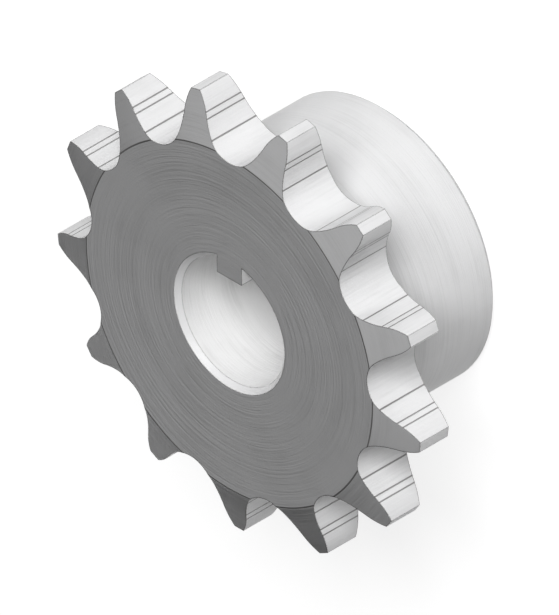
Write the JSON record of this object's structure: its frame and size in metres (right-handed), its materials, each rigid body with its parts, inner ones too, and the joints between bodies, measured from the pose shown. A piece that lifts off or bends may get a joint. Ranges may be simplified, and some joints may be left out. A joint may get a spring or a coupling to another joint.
{
  "type": "chain sprocket",
  "caption": "Steel roller chain sprocket with a hub on one side and a keyed round bore.",
  "frame": {"origin": "on the bore's axis, at the hub's end face, which the part stands on", "axes": "+Z along the bore from the hub to the toothed plate's front face; +Y through the key and the middle of the first tooth gap; +X completes a right-handed frame"},
  "size_m": [0.0884, 0.0877, 0.0377],
  "materials": {
    "machined_steel": "satin, turned and milled"
  },
  "bodies": {
    "root": {"sprocket": "machined_steel"}
  },
  "joints": []
}
